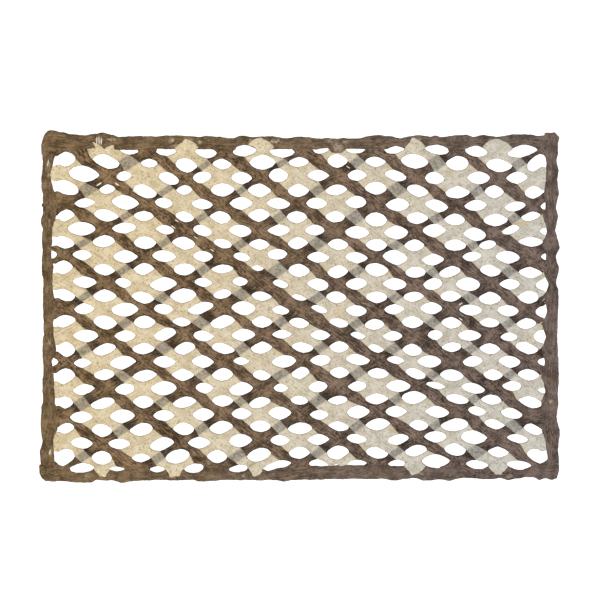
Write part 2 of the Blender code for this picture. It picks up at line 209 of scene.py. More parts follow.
# Gaps that stand out from an even lattice's: column and row from the middle crossing, the gap's middle, its
# width and height in millimetres, and how far it leans: down to the right above 0, up to the right below.
GapForm = namedtuple("GapForm", "column row x y wide high lean")
GAP_FORMS = [
    (-9, 12, -192, 175, 22, 10, 0), (-7, 12, -150, 173.5, 23, 10, 0), (-3, 12, -62, 174, 27, 12.5, 0),
    (-1, 12, -20, 173, 29, 13, 0.05), (1, 12, 24, 174.5, 16, 7, -0.1), (3, 12, 62, 175, 20, 7.5, 0),
    (5, 12, 106.5, 175, 21, 8, -0.08), (7, 12, 153, 175.5, 27, 10.5, 0.1),
    (9, 12, 197.5, 173.5, 25, 12, 0.05), (11, 12, 249, 173.5, 35, 14, -0.2),
    (-12, 11, -263, 165, 24, 17, 0), (-10, 11, -217, 162.5, 30, 16.5, 0.1),
    (-8, 11, -169, 160.5, 19, 10, 0), (-6, 11, -127, 158, 25, 16.5, 0.1), (-2, 11, -42, 161.5, 30, 17, 0),
    (0, 11, -1.5, 162, 23, 11, 0), (2, 11, 42, 163, 23, 15.5, 0), (4, 11, 84.5, 162, 23.5, 12, 0),
    (6, 11, 128.5, 162.5, 31.5, 16.5, 0.05), (8, 11, 176, 160.5, 26, 16.5, 0),
    (10, 11, 223, 158, 30, 15.5, 0.05), (12, 11, 265.5, 161, 22, 20, -0.25),
    (-11, 10, -242, 148.5, 35, 19, 0), (-9, 10, -197, 146, 17, 11.5, 0),
    (-7, 10, -147, 143.5, 23, 14.5, 0.12), (-5, 10, -109.5, 144.5, 21, 13.5, 0),
    (-1, 10, -24, 147, 22, 16, 0), (1, 10, 20.5, 146.5, 25, 13.5, 0), (3, 10, 64, 147, 22, 13, 0),
    (5, 10, 107, 146.5, 24.5, 13, 0.08), (7, 10, 151, 144, 22, 14.5, 0.05), (9, 10, 200, 144, 26, 14.5, 0),
    (-12, 9, -262, 133.5, 27.5, 17, 0.1), (-10, 9, -216, 131.5, 18, 11, 0),
    (-8, 9, -173.5, 129, 27, 15.5, 0.15), (-6, 9, -129.5, 130.5, 18.5, 11, 0),
    (-4, 9, -86.5, 130.5, 27, 15, 0), (-2, 9, -45.5, 130, 27, 16, 0), (2, 9, 40.5, 130.5, 25, 12.5, 0),
    (4, 9, 84.5, 132.5, 25.5, 14.5, 0), (6, 9, 132, 129.5, 24.5, 14, 0.1), (8, 9, 176.5, 128, 28, 14, 0),
    (10, 9, 217.5, 128.5, 22, 15, 0), (12, 9, 262, 128, 21.5, 14.5, 0), (-11, 8, -241, 116, 23, 11, -0.05),
    (-9, 8, -195.5, 116.5, 31, 17, 0.1), (-3, 8, -66, 115.5, 26, 15, 0),
    (-1, 8, -24, 115.5, 26.5, 13, 0.05), (3, 8, 62.5, 117, 24, 14.5, 0), (5, 8, 109, 114, 26.5, 15, 0),
    (7, 8, 153, 112.5, 26, 15, 0.12), (11, 8, 241, 112, 24, 11.5, -0.15), (13, 8, 276, 113, 13, 9, 0),
    (-12, 7, -262, 102, 20, 13.5, 0), (-10, 7, -217, 102, 28, 14, 0.08),
    (-6, 7, -129, 100.5, 21, 12.5, 0.08), (-2, 7, -46, 102, 25, 15, 0), (4, 7, 85, 97.5, 24.5, 16, 0),
    (8, 7, 173, 97.5, 23.5, 13.5, 0), (10, 7, 219, 97, 28, 14.5, 0), (12, 7, 258.5, 101, 21.5, 10.5, -0.1),
    (-11, 6, -245, 87, 32, 15.5, 0), (-9, 6, -197, 88, 27, 12.5, 0), (-7, 6, -151.5, 86, 21, 11, 0.1),
    (-5, 6, -109, 85, 21, 13, 0.12), (1, 6, 16.5, 85.5, 22, 12.5, 0), (3, 6, 64, 83, 27.5, 14.5, 0),
    (5, 6, 107.5, 83, 27.5, 16, 0), (7, 6, 150.5, 85, 26.5, 15.5, 0), (9, 6, 195.5, 81, 26, 15.5, 0.1),
    (11, 6, 236, 86, 19.5, 10.5, -0.15), (13, 6, 276, 84, 15, 9, 0), (-12, 5, -265, 72, 25, 14.5, 0.1),
    (10, 5, 210, 69, 19, 10.5, -0.05), (12, 5, 258, 72.5, 28.5, 11.5, 0), (-13, 4, -277, 58, 10, 8.5, 0),
    (-11, 4, -244, 57.5, 22, 12, 0), (-9, 4, -195.5, 56, 28, 15, 0), (-3, 4, -65, 55.5, 19, 10, 0.1),
    (-1, 4, -25.5, 58.5, 22.5, 12.5, 0), (5, 4, 106.5, 55, 28.5, 17.5, 0.08),
    (7, 4, 149, 52.5, 25.5, 13.5, 0), (11, 4, 232.5, 55, 27.5, 14.5, 0.05), (13, 4, 276.5, 56, 14, 9, 0),
    (-12, 3, -265, 44, 22, 16, 0), (-8, 3, -175, 42, 24, 14, -0.05), (-4, 3, -87, 42, 25, 10, 0),
    (-2, 3, -47.5, 43, 14, 7, 0.05), (0, 3, -1, 40.5, 24.5, 15, 0), (2, 3, 42.5, 39, 23.5, 15, -0.12),
    (4, 3, 86, 41, 26.5, 15.5, 0.05), (8, 3, 168, 39, 24, 13, -0.12), (12, 3, 258, 38, 27, 13, 0.08),
    (-11, 2, -241, 27, 27.5, 13.5, 0), (-9, 2, -198, 26.5, 18.5, 11.5, 0.05),
    (-7, 2, -153, 25, 31, 16.5, 0), (-5, 2, -108.5, 27, 20, 11, 0.05), (-3, 2, -67, 28, 17.5, 10.5, 0),
    (-1, 2, -22, 25.5, 17, 9.5, 0.12), (5, 2, 106, 25, 27, 14, 0), (9, 2, 188, 25, 27.5, 15.5, 0),
    (13, 2, 272, 25, 17, 12.5, 0), (-12, 1, -264, 13, 24, 14, 0.1), (-8, 1, -176, 10, 26, 14, 0.12),
    (-6, 1, -131, 12, 30, 16.5, 0), (-4, 1, -87, 14, 21, 11, -0.1), (-2, 1, -43, 11.5, 23, 11, 0.05),
    (0, 1, -1, 10, 17, 7, 0.12), (8, 1, 169, 11.5, 24, 12.5, 0), (-11, 0, -241.5, -2.5, 23, 13, 0),
    (-9, 0, -196, -3.5, 31, 16, 0), (-5, 0, -111.5, -2, 29, 14, -0.15), (-3, 0, -63.5, -2, 27.5, 16, 0),
    (-1, 0, -21.5, -4, 19.5, 10.5, 0.1), (1, 0, 21.5, -3, 17.5, 9, 0.2), (7, 0, 147, -2, 25, 14, 0),
    (9, 0, 191, -4, 26, 12.5, 0), (13, 0, 272, -6, 17, 13, 0), (-12, -1, -263.5, -16.5, 25, 14, -0.05),
    (-10, -1, -218, -18, 27, 16, 0.1), (-4, -1, -86.5, -17, 28, 15.5, -0.15),
    (0, -1, -1, -18.5, 23, 12, 0.1), (4, -1, 83.5, -20, 22, 12.5, 0), (6, -1, 126, -17.5, 25, 14, 0),
    (10, -1, 212, -18, 23, 11, 0), (-11, -2, -240, -33, 29, 14.5, 0), (-7, -2, -151, -31, 25, 15, -0.15),
    (-5, -2, -108, -33, 23, 12.5, 0), (-3, -2, -63.5, -32, 27.5, 14.5, 0),
    (-1, -2, -20, -31, 22.5, 10.5, 0), (3, -2, 65, -32.5, 17, 8.5, 0.1), (7, -2, 151.5, -32, 17, 11.5, 0),
    (9, -2, 190, -32.5, 27, 12.5, 0), (11, -2, 234, -34, 19, 10, 0), (13, -2, 270.5, -33.5, 18, 15, 0),
    (-12, -3, -262, -48, 21, 17, 0), (-10, -3, -219, -48, 26, 14, -0.2),
    (-8, -3, -175, -47, 26, 13.5, -0.05), (-6, -3, -129, -47, 24, 14.5, -0.1),
    (-4, -3, -86, -47, 26, 12.5, 0.12), (0, -3, 3, -46, 24.5, 12, 0.08), (4, -3, 85, -47, 17.5, 9.5, 0.15),
    (6, -3, 125.5, -48.5, 22, 14, 0.08), (8, -3, 169.5, -45.5, 22, 11, 0),
    (12, -3, 254, -46.5, 25.5, 14, 0.1), (-13, -4, -275.5, -62, 10, 8, 0),
    (-11, -4, -243.5, -63.5, 20, 11, 0), (-9, -4, -198.5, -63, 30, 16, -0.1), (-3, -4, -66, -61, 18, 9, 0),
    (-1, -4, -18, -61.5, 27.5, 14.5, 0), (3, -4, 65, -59.5, 27, 13, 0.08), (5, -4, 107, -60, 19.5, 9, 0),
    (7, -4, 145, -61.5, 27, 14, 0), (9, -4, 193.5, -61.5, 22.5, 12.5, 0), (13, -4, 273, -62, 14, 8.5, 0),
    (-12, -5, -263.5, -78, 24, 18, 0), (-8, -5, -174, -77.5, 28, 13.5, -0.12),
    (0, -5, 0.5, -74.5, 20, 14, 0), (8, -5, 170, -77, 27, 13.5, 0.08), (10, -5, 216, -76.5, 22, 13, 0.05),
    (-11, -6, -242, -93, 25, 13, -0.12), (-9, -6, -196.5, -92.5, 22, 13, -0.05),
    (-7, -6, -152.5, -91.5, 29, 16.5, 0), (-5, -6, -107, -91.5, 20, 12.5, 0),
    (-3, -6, -66, -92, 27, 15.5, -0.05), (-1, -6, -21.5, -91, 16.5, 10, 0), (1, -6, 20, -90, 21.5, 13, 0),
    (3, -6, 64, -89.5, 21, 12, 0), (5, -6, 110, -89, 28, 14, 0), (7, -6, 152, -88.5, 21.5, 8.5, 0.15),
    (9, -6, 194, -91.5, 26, 12.5, 0.12), (11, -6, 237, -89, 22, 11.5, 0), (13, -6, 274, -94, 16, 7, 0),
    (-12, -7, -263.5, -107.5, 19.5, 14, 0), (-10, -7, -221, -108.5, 27, 13, -0.1),
    (-8, -7, -175.5, -107, 24, 14.5, 0), (-6, -7, -129, -107, 26.5, 13, -0.12),
    (-2, -7, -45, -107.5, 24, 13, -0.12), (2, -7, 42, -105, 22.5, 10, 0),
    (4, -7, 86, -103.5, 26.5, 12.5, 0), (6, -7, 128, -102, 28.5, 15, 0),
    (8, -7, 176, -103.5, 25.5, 11, 0.1), (12, -7, 258, -107, 27, 14, 0.1),
    (-11, -8, -245, -124, 26, 13.5, 0), (-9, -8, -199, -123, 28.5, 16, 0),
    (-7, -8, -152.5, -122, 24, 12.5, 0), (1, -8, 21.5, -121.5, 21, 11.5, 0),
    (7, -8, 153.5, -118, 27.5, 14, 0.05), (9, -8, 198, -117, 20, 11, 0.1),
    (11, -8, 237, -119.5, 24, 12.5, 0.05), (-12, -9, -262.5, -136.5, 19, 12, -0.1),
    (-10, -9, -222, -139, 23.5, 15, 0), (0, -9, 0, -136.5, 27.5, 13.5, 0),
    (2, -9, 43, -134, 23.5, 11.5, 0.05), (4, -9, 87, -132, 28, 14, 0), (6, -9, 133, -133, 22, 12.5, 0),
    (8, -9, 173, -132.5, 31.5, 14.5, 0), (12, -9, 261, -137.5, 21, 13, 0.1),
    (-9, -10, -202.5, -154, 25, 12, 0), (-7, -10, -154.5, -154, 27, 15.5, -0.1),
    (-5, -10, -113, -152.5, 26, 13.5, 0), (5, -10, 110, -149, 24, 12.5, -0.12),
    (9, -10, 195, -146.5, 30, 16, 0), (11, -10, 243.5, -148, 24, 10.5, 0.05),
    (-12, -11, -264, -169, 24, 20, -0.15), (-10, -11, -222, -169.5, 23, 16, 0),
    (-8, -11, -178, -169.5, 21.5, 10, 0), (-6, -11, -137, -168, 27, 16.5, -0.08),
    (-4, -11, -93, -168, 23, 15, 0), (-2, -11, -46, -166, 26.5, 15.5, -0.08),
    (2, -11, 42.5, -163.5, 25, 16, 0), (8, -11, 173.5, -160, 24.5, 14.5, 0),
    (10, -11, 222, -163, 24, 12.5, 0.05), (12, -11, 266, -167.5, 24, 17, 0.2),
    (-11, -12, -244, -180.5, 28, 11, -0.12), (-9, -12, -205, -181.5, 17, 4.5, 0),
    (-7, -12, -160, -182, 17, 7, 0), (-5, -12, -119, -181, 22, 10, -0.1),
    (-3, -12, -69.5, -181.5, 21, 8, -0.1), (-1, -12, -26, -178.5, 32, 12.5, -0.2),
    (1, -12, 20, -176, 20, 10, 0), (3, -12, 64.5, -175.5, 21, 8, 0), (5, -12, 108, -176, 19.5, 9, 0),
    (7, -12, 152, -173, 32, 15.5, 0), (9, -12, 198.5, -177, 25, 10, 0),
    (11, -12, 245, -177.5, 29, 10, 0.12),
]
GAP_FORMS = [GapForm(*row) for row in GAP_FORMS]
# Columns and rows where bark closes the gap.
CLOSED = [(-11, 12), (13, 12), (13, 10), (13, -8), (13, -10), (13, -12)]
CLOSED += [(-13, row) for row in (-12, -10, -8, -6, -2, 0, 2, 6, 8, 10, 12)]
CLOSED += [(column, row) for column in range(-14, 15, 2) for row in (-13, 13)]

# How many gaps the tables hold each way from the middle.
CELLS = 16
# How small a closed gap is kept in them, and below what size a gap counts as closed.
SHUT, LEAST_OPEN = 0.02, 0.1
# Where a gap usually starts beside a strip, in lattice steps after a crossing.
USUAL_START = 0.24
# Stands for any distance from a gap that is too long to matter.
FAR_OFF = 30.0


def cell_of(column, row):
    """A gap's place in the tables of gaps."""
    return (column - 1 - row) // 2 + CELLS, (column - 1 + row) // 2 + CELLS


class Gaps:
    """Every gap, by the numbers of the under and the over strip it lies next after."""

    def __init__(self):
        chance = np.random.default_rng(41)
        i, j = np.meshgrid(np.arange(-CELLS, CELLS), np.arange(-CELLS, CELLS), indexing="ij")
        before, after = UNDER.half_width(i), UNDER.half_width(i + 1)
        below, above = OVER.half_width(j), OVER.half_width(j + 1)
        shape = i.shape
        # No two even gaps are quite alike: each is a little off its place, size, length, height and bow.
        sway = chance.normal(0, 0.012, (2, *shape))
        grow = 1.01 + np.clip(chance.normal(0, 0.03, (2, *shape)), -0.07, 0.07)
        self.middle = np.array([i + 0.5 + (before - after) / 2, j + 0.5 + (below - above) / 2]) + sway
        self.size = np.array([0.5 - (before + after) / 2, 0.5 - (below + above) / 2]) / EVEN_HALF * grow
        self.tip = TIP_REACH * (1 + np.clip(chance.normal(0, 0.04, shape), -0.08, 0.08))
        self.rise = RISE_REACH * (1 + np.clip(chance.normal(0, 0.05, shape), -0.1, 0.1))
        self.bow = np.clip(chance.normal(BOW, 0.22, (2, 2, *shape)), 1.3, 2.3)
        # Then the gaps with a form of their own.
        for form in GAP_FORMS:
            spot = cell_of(form.column, form.row)
            beside = form.x + form.wide / 2 * np.array([0, 1, -1, 0, 0])
            above = form.y + form.high / 2 * np.array([0, 0, 0, 1, -1])
            under, over = locate(beside, above)
            self.middle[0][spot], self.middle[1][spot] = under[0], over[0]
            self.size[0][spot], self.size[1][spot] = 1 + form.lean, 1 - form.lean
            self.tip[spot] = (under[1] - under[2] + over[1] - over[2]) / 4
            self.rise[spot] = (over[3] - over[4] - under[3] + under[4]) / 4
        self.tip, self.rise = self.tip * FRAYED, self.rise * FRAYED
        for spot in CLOSED:
            self.size[0][cell_of(*spot)] = self.size[1][cell_of(*spot)] = SHUT

    def edge(self, along, number, side, over):
        """A strip's edge on this side, counted across the strips, along an over or an under strip."""
        beside = (number if side > 0 else number - 1) + CELLS
        first, second = (0, 1) if over else (1, 0)

        def pick(table, cell):
            index = np.clip(cell + CELLS, 0, 2 * CELLS - 1)
            return table[index, beside] if over else table[beside, index]

        reach_start, reach_end = (self.tip, self.rise) if side > 0 else (self.rise, self.tip)

        def start_of(cell):
            return pick(self.middle[first], cell) - pick(self.size[first] * reach_start, cell)

        cell = np.floor(along - USUAL_START).astype(int)
        cell = np.where(along < start_of(cell), cell - 1, cell)
        cell = np.where(along >= start_of(cell + 1), cell + 1, cell)
        middle, size = pick(self.middle[first], cell), pick(self.size[first], cell)
        tip, rise = pick(self.tip, cell), pick(self.rise, cell)
        x = np.clip((along - middle) / size, -np.where(side > 0, tip, rise), np.where(side > 0, rise, tip))
        quarter = (0, 0 if over else 1) if side > 0 else (1, 1 if over else 0)
        bow = pick(self.bow[quarter], cell)
        arc = pick(self.middle[second], cell)
        arc = arc - side * pick(self.size[second], cell) * side_reach(x * side, tip, rise, bow)
        end = middle + size * pick(reach_end, cell)
        end_across = pick(self.middle[second] - side * self.size[second] * reach_end, cell)
        next_across = pick(self.middle[second] - side * self.size[second] * reach_start, cell + 1)
        share = smooth(along, end, start_of(cell + 1))
        return np.where(along <= end, arc, end_across * (1 - share) + next_across * share)

    def distance(self, under, over):
        """How far points on the strips lie from the nearest gap, in millimetres."""
        nearest = np.full(np.shape(under), FAR_OFF)
        for step_i in (-1, 0):
            for step_j in (-1, 0):
                i = np.clip(np.floor(under + 0.5).astype(int) + step_i + CELLS, 0, 2 * CELLS - 1)
                j = np.clip(np.floor(over + 0.5).astype(int) + step_j + CELLS, 0, 2 * CELLS - 1)
                du = (under - self.middle[0][i, j]) / self.size[0][i, j]
                dv = (over - self.middle[1][i, j]) / self.size[1][i, j]
                p, q = (du + dv) / 2, (dv - du) / 2
                bow = self.bow[(p > 0).astype(int), (q > 0).astype(int), i, j]
                level = (np.abs(p / self.tip[i, j]) ** bow + np.abs(q / self.rise[i, j]) ** bow) ** (1 / bow)
                away_x = STEP_X * (du * self.size[0][i, j] + dv * self.size[1][i, j])
                away_y = STEP_Y * (dv * self.size[1][i, j] - du * self.size[0][i, j])
                away = np.hypot(away_x, away_y) * (1 - 1 / np.maximum(level, 1e-6))
                column, row = i + j - 2 * CELLS + 1, j - i
                outside = (np.abs(column) > OUTERMOST + 1) | (np.abs(row) > OUTERMOST)
                away = np.where(outside | (self.size[0][i, j] < LEAST_OPEN), FAR_OFF, away)
                nearest = np.minimum(nearest, away)
        return np.maximum(nearest, 0)


GAPS = Gaps()


class Sheets:
    """Collects closed ribbons of bark, rows of points along them, for one piece's mesh."""

    def __init__(self):
        self.points, self.faces, self.uvs = [], [], []
        # Per point: distance to a gap for the rims, the veil, and the mark for painted shade under crossings,
        # which is -1 on the pale slivers.
        self.marks = {"rim": [], "veil": [], "tuck": []}
        self.count = 0

    def ribbon(self, x, y, top, bottom, along, across, rim=None, veil=None, tuck=None):
        """Adds a ribbon from its grids of rows and columns. Its underside spans its edges, with one row of
        points beneath the middle column."""
        rows, columns = x.shape
        half = columns // 2
        rim = np.full(x.shape, FAR_OFF) if rim is None else rim
        veil, tuck = (np.zeros(x.shape) if grid is None else grid for grid in (veil, tuck))
        turn = (x[1, 0] - x[0, 0]) * (y[0, -1] - y[0, 0]) - (y[1, 0] - y[0, 0]) * (x[0, -1] - x[0, 0])
        if turn < 0:
            x, y, top, along, across, rim, veil, tuck = (
                grid[:, ::-1] for grid in (x, y, top, along, across, rim, veil, tuck)
            )
        under = np.stack([x[:, half], y[:, half], bottom], axis=1)
        points = np.concatenate([np.stack([x, y, top], axis=2).reshape(-1, 3), under])
        spot = np.arange(rows * columns).reshape(rows, columns) + self.count
        low = np.arange(rows) + rows * columns + self.count
        near, far = spot[:-1], spot[1:]
        quads = np.stack([near[:, :-1], far[:, :-1], far[:, 1:], near[:, 1:]], axis=2).reshape(-1, 4)
        beneath = [
            np.stack([near[:, 0], low[:-1], low[1:], far[:, 0]], axis=1),
            np.stack([low[:-1], near[:, -1], far[:, -1], low[1:]], axis=1),
        ]
        self.faces += quads.tolist() + beneath[0].tolist() + beneath[1].tolist()
        self.faces.append(spot[0].tolist() + [int(low[0])])
        self.faces.append(spot[-1][::-1].tolist() + [int(low[-1])])
        self.points.append(points)
        flat = np.stack([along, across], axis=2).reshape(-1, 2)
        self.uvs.append(np.concatenate([flat, np.stack([along[:, half], across[:, half]], axis=1)]))
        for name, grid in (("rim", rim), ("veil", veil), ("tuck", tuck)):
            self.marks[name].append(np.concatenate([grid.ravel(), grid[:, half]]))
        self.count += len(points)

    def build(self, name, material):
        """Makes the piece from all its ribbons."""
        mesh = bpy.data.meshes.new(name)
        points = np.concatenate(self.points) * MM
        mesh.from_pydata(points.tolist(), [], self.faces)
        corners = np.zeros(len(mesh.loops), int)
        mesh.loops.foreach_get("vertex_index", corners)
        layer = mesh.uv_layers.new(name="bark")
        layer.data.foreach_set("uv", (np.concatenate(self.uvs) * MM)[corners].ravel())
        for mark, values in self.marks.items():
            attribute = mesh.attributes.new(mark, "FLOAT", "POINT")
            attribute.data.foreach_set("value", np.concatenate(values))
        mesh.polygons.foreach_set("use_smooth", np.ones(len(mesh.polygons), bool))
        mesh.materials.append(material)
        mesh.update()
        piece = bpy.data.objects.new(name, mesh)
        bpy.context.scene.collection.objects.link(piece)
        return piece


# Columns across a strip, closer together at its thin edges, and a strip's section over them.
COLUMNS = np.array([-1, -0.93, -0.8, -0.62, -0.42, -0.21, 0, 0.21, 0.42, 0.62, 0.8, 0.93, 1])
SECTION = np.sqrt(1 - COLUMNS**4)
# Stations along a strip from one crossing to the next, how far out they are counted, and how few are too
# few for a strip.
STATIONS = 18
COUNTED_OUT = 13.6
TOO_FEW = 8
# The least half width of a strip beside a gap, in lattice steps.
LEAST_HALF = 0.074
# How thick a strip is, how high the under and the over strips lie, and how far an over strip rises where it
# crosses the other colour.
STRIP_THICK = 0.75
UNDER_LOW, OVER_LOW = 0.12, 0.3
ARCH = 0.62
# Where the strips end beneath the border, and over what length an end narrows.
LAST_X, LAST_Y = (-279, 281), (-187, 181)
END_SOFT = 3.5
# How far from the sheet's middle the strips dip beneath the border, and how high they lie there.
SHEET_X, SHEET_Y = 1, -2.5
DIP_X, DIP_Y = 266, 171
DIPPED = 0.1
# How far a cream strip's end rises to lie on the border.
CREAM_RISE = 1.3

# How far up and down the cream strips reach over the top and the bottom border strip, at six places.
CREAM_AT = [-232, -127, -50, 42, 129, 218]
CREAM_TOP = [180, 183.5, 186.5, 177, 186, 185]
CREAM_BOTTOM = [-189.5, -189.5, -188, -179.5, -185.5, -186]


def is_cream(number):
    return number % 2 != 0


def mixed_at(number, along):
    """1 where the nearest crossing is with a strip of the other colour, 0 where it is with one of its own."""
    return (np.round(along).astype(int) + number) % 2


def add_strip(sheets, number, over):
    """Adds one strip of the lattice, from border to border."""
    crossed = UNDER if over else OVER
    along = np.arange(-COUNTED_OUT, COUNTED_OUT, 1 / STATIONS)

    def spot(stations, across):
        return place(stations, across) if over else place(across, stations)

    x, y = spot(along, np.full_like(along, number))
    low_y, high_y = (np.full_like(x, last) for last in LAST_Y)
    if is_cream(number):
        low_y, high_y = np.interp(x, CREAM_AT, CREAM_BOTTOM) + 2, np.interp(x, CREAM_AT, CREAM_TOP) - 2
    kept = (x > LAST_X[0]) & (x < LAST_X[1]) & (y > low_y) & (y < high_y)
    if kept.sum() < TOO_FEW:
        return
    along, x, y = along[kept], x[kept], y[kept]
    seed = (700 if over else 900) + number
    # Ragged edges that follow the gaps, drawn in at both ends.
    near = GAPS.edge(along, number, -1, over)
    far = GAPS.edge(along, number, 1, over)
    ragged = noise_line(along, seed, 0.11), noise_line(along + 40, seed, 0.11)
    near = near + 0.007 * ragged[0] + 0.006 * noise_line(along + 80, seed, 0.04)
    far = far + 0.007 * ragged[1] + 0.006 * noise_line(along + 120, seed, 0.04)
    middle, half = (near + far) / 2, np.maximum((far - near) / 2, LEAST_HALF)
    run = np.concatenate([[0], np.cumsum(np.hypot(np.diff(x), np.diff(y)))])
    to_end = np.minimum(run, run[-1] - run)
    half = half * np.sqrt(np.clip(1 - (1 - np.minimum(to_end / END_SOFT, 1)) ** 2, 0.04, 1))
    across = middle[:, None] + half[:, None] * COLUMNS
    stations = np.broadcast_to(along[:, None], across.shape)
    grid_x, grid_y = spot(stations, across)
    run_grid = np.broadcast_to(run[:, None], across.shape)
    width = half * SPACING * 2
    across_mm = COLUMNS * width[:, None] / 2
    # The over strip arches over the other colour, both dip beneath the border, and cream ends lie on it.
    away = np.abs(along - np.round(along))
    mixed = mixed_at(number, along) * (1 - smooth(away, 0.28, 0.46))
    lift = OVER_LOW + ARCH * mixed if over else UNDER_LOW + 0.1 * (1 - mixed)
    at_border = smooth(np.maximum(np.abs(x - SHEET_X) - DIP_X, np.abs(y - SHEET_Y) - DIP_Y), 0, 5)
    lift = lift * (1 - at_border) + DIPPED * at_border
    thick = STRIP_THICK * (1 + 0.12 * noise_line(along, seed + 300, 0.5)) * (1 - 0.5 * at_border)
    if is_cream(number):
        lift = lift + smooth(np.abs(y + 1), 174.5, 178.5) * CREAM_RISE
    # Long and short creases along the strip.
    crease = 0.13 * noise_field(run_grid / 22, across_mm / 1.7, seed, 1.0)
    crease = crease + 0.07 * noise_field(run_grid / 5, across_mm / 1.1, seed + 50, 1.0)
    top = lift[:, None] + SECTION * (thick[:, None] + crease * SECTION)
    # What the colours follow: frayed rims, the veil of cream over brown, and painted shade where a strip
    # tucks under one of the other colour.
    rim = GAPS.distance(stations, across) if over else GAPS.distance(across, stations)
    crossed_half = crossed.half_width(np.round(along).astype(int))
    inside = 1 - smooth(away, crossed_half * 0.95, crossed_half * 1.6)
    seen_through = 1 if over and is_cream(number) else 0
    veil = np.broadcast_to((mixed_at(number, along) * inside * seen_through)[:, None], across.shape)
    to_mixed = np.where(mixed_at(number, along) == 1, away, 1 - away)
    beside = 1 - (smooth(to_mixed, 0.2, 0.42) if is_cream(number) else smooth(to_mixed, 0.38, 0.74))
    # Painted shade: an under strip darkens near the crossings where it passes beneath a strip of the other
    # colour.
    tuck = np.broadcast_to((beside * (0 if over else 1))[:, None], across.shape)
    offset = (number + 20) * 37.0 + (0 if over else 2000)
    sheets.ribbon(grid_x, grid_y, top, lift, run_grid + offset, across_mm + offset, rim, veil, tuck)


brown, cream = Sheets(), Sheets()
for number in range(-12, 13):
    for over in (True, False):
        add_strip(cream if is_cream(number) else brown, number, over)

# The border's edges, points in millimetres. Outside they run round the sheet, inside they follow the gaps.
TOP_OUTER = [
    (-289.5, 182), (-288.5, 187), (-286, 194), (-282, 197.5), (-275, 197), (-266, 195), (-258, 193),
    (-240, 192), (-232, 193.5), (-220, 194.5), (-210, 192), (-203, 190), (-180, 191), (-160, 190.5),
    (-137, 192), (-112, 190), (-105, 191.5), (-90, 190), (-82, 188.5), (-75, 188.5), (-68, 191.5),
    (-62, 191.5), (-55, 190), (-30, 190.5), (-15, 188.5), (-3, 190), (10, 190), (18, 188.5), (65, 188.5),
    (75, 190.5), (88, 192), (100, 191), (112, 188.5), (122, 190.5), (132, 192), (147, 190), (152, 191.5),
    (160, 189.5), (176, 192), (187, 192), (195, 190), (205, 192), (220, 190.5), (240, 193), (258, 193),
    (266, 191.5), (277, 192),
]
TOP_INNER = [
    (-289.5, 170), (-275, 174), (-250, 175.5), (-240, 176), (-232, 177), (-215, 177), (-203, 175.5),
    (-181, 175.5), (-160, 176.5), (-140, 176.5), (-116, 176), (-92, 176), (-75, 176), (-48, 176.5),
    (-34, 176.5), (-8, 176.5), (2, 175.5), (16, 176), (31, 177), (37, 172), (47, 172), (52, 176.5),
    (72, 176.5), (85, 175), (97, 176.5), (117, 177), (129, 178), (141, 177.5), (165, 176), (176, 175),
    (187, 177), (209, 177), (230, 177), (248, 177.5), (277, 179),
]
BOTTOM_OUTER = [
    (-291.5, -187), (-289, -193), (-285, -196), (-262, -196), (-245, -197.5), (-234, -197), (-228, -194.5),
    (-212, -194.5), (-200, -197.5), (-190, -196), (-165, -194.5), (-135, -195), (-120, -194.5),
    (-113, -196), (-85, -194.5), (-30, -194.5), (-17, -196), (-8, -194.5), (50, -193.5), (90, -193),
    (107, -195), (120, -192.5), (130, -192.5), (138, -195), (147, -195), (156, -193.5), (168, -195),
    (180, -192), (215, -193.5), (225, -192), (233, -195), (241, -192.5), (262, -191), (268, -194.5),
    (275, -192.5), (282, -194), (288, -192), (290.5, -184),
]
BOTTOM_INNER = [
    (-292, -177), (-275, -180), (-257, -182), (-231, -181), (-214, -182), (-198, -180), (-184, -179.5),
    (-169, -180), (-152, -182), (-142, -184), (-131, -181), (-110, -178), (-93, -177), (-80, -179),
    (-60, -180), (-53, -182), (-42, -182), (-36, -184), (-12, -178.5), (-2, -176.5), (10, -178.5),
    (30, -178.5), (42, -178), (54, -177.5), (75, -177.5), (86, -175.5), (98, -178.5), (117, -178),
    (129, -181), (142, -178), (163, -177), (176, -176.5), (187, -177), (210, -178), (218, -180),
    (232, -178), (258, -178), (275, -178), (290.5, -177),
]
LEFT_OUTER = [
    (-178, -290), (-164, -291.5), (-150, -288.5), (-134, -290.5), (-112, -290), (-107, -288), (-81, -288.5),
    (-71, -287.5), (-57, -288.5), (-41, -288.5), (-31, -287), (8, -288), (27, -287.5), (44, -289.5),
    (62, -288), (77, -289), (87, -288), (93, -290), (98, -290), (105, -288), (123, -288), (139, -290),
    (159, -288), (172, -288.5),
]
LEFT_INNER = [
    (-178, -274), (-170, -275), (-150, -276.5), (-137, -272), (-122, -269), (-108, -274), (-91, -275.5),
    (-78, -275.5), (-62, -278), (-48, -272.5), (-32, -276), (-17, -276.5), (-2, -270), (13, -276),
    (27, -277.5), (44, -275.5), (58, -279), (73, -277.5), (87, -277.5), (101, -273), (117, -270),
    (133, -276.5), (148, -279.5), (165, -275.5), (172, -273),
]
RIGHT_OUTER = [
    (-178, 290.5), (-175, 290.5), (-160, 289), (-139, 291), (-123, 287.5), (-108, 290), (-97, 289),
    (-74, 290), (-33, 288), (8, 289.5), (19, 289), (27, 287), (44, 290), (55, 286.5), (66, 290.5),
    (79, 288), (86, 286), (101, 289), (112, 287), (126, 290), (142, 288.5), (152, 290), (164, 287),
    (171, 289), (182, 289), (189, 290.5), (194.5, 286),
]
RIGHT_INNER = [
    (-178, 277), (-167, 277), (-153, 275.5), (-138, 271), (-120, 270.5), (-106, 270.5), (-94, 274.5),
    (-80, 270), (-62, 274), (-48, 271), (-34, 275), (-20, 271), (-6, 276.5), (10, 274), (25, 278),
    (38, 273), (56, 276), (70, 271.5), (84, 276.5), (100, 272), (113, 275.5), (128, 273.5), (145, 275),
    (161, 276), (172, 275), (195, 273.5),
]
